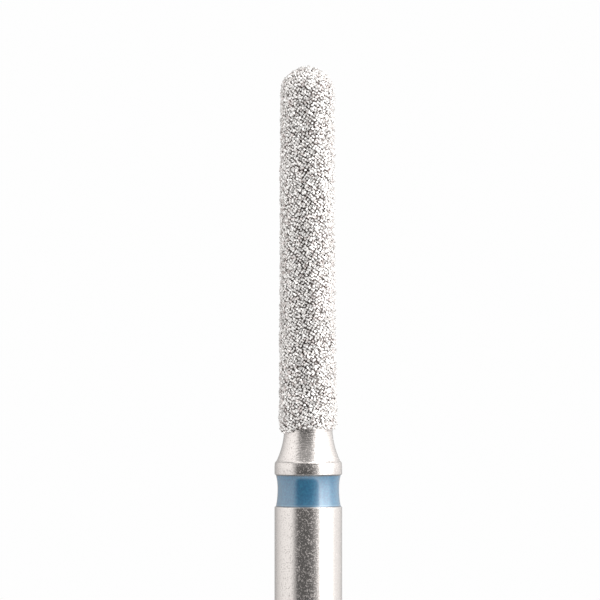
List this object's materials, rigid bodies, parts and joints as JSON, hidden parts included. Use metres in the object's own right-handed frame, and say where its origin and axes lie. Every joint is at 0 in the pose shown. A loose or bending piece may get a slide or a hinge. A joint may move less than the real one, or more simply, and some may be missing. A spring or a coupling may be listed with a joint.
{
  "type": "dental bur",
  "caption": "Slim rotary dental bur: round-ended, slightly tapered diamond grit head, waisted neck, collar, blue band in a groove and a plain friction-grip shank.",
  "frame": {"origin": "centre of the shank's flat end face", "axes": "+Z along the bur's axis, from the shank's end to the rounded cutting tip"},
  "size_m": [0.0016, 0.0016, 0.022],
  "materials": {
    "stainless_steel": "fine satin, ground round the axis",
    "blue_lacquer": "glossy",
    "diamond_grit": "coarse sparkling grit in bright nickel"
  },
  "bodies": {
    "root": {"steel_blank": "stainless_steel", "colour_band": "blue_lacquer", "diamond_coating": "diamond_grit"}
  },
  "joints": []
}
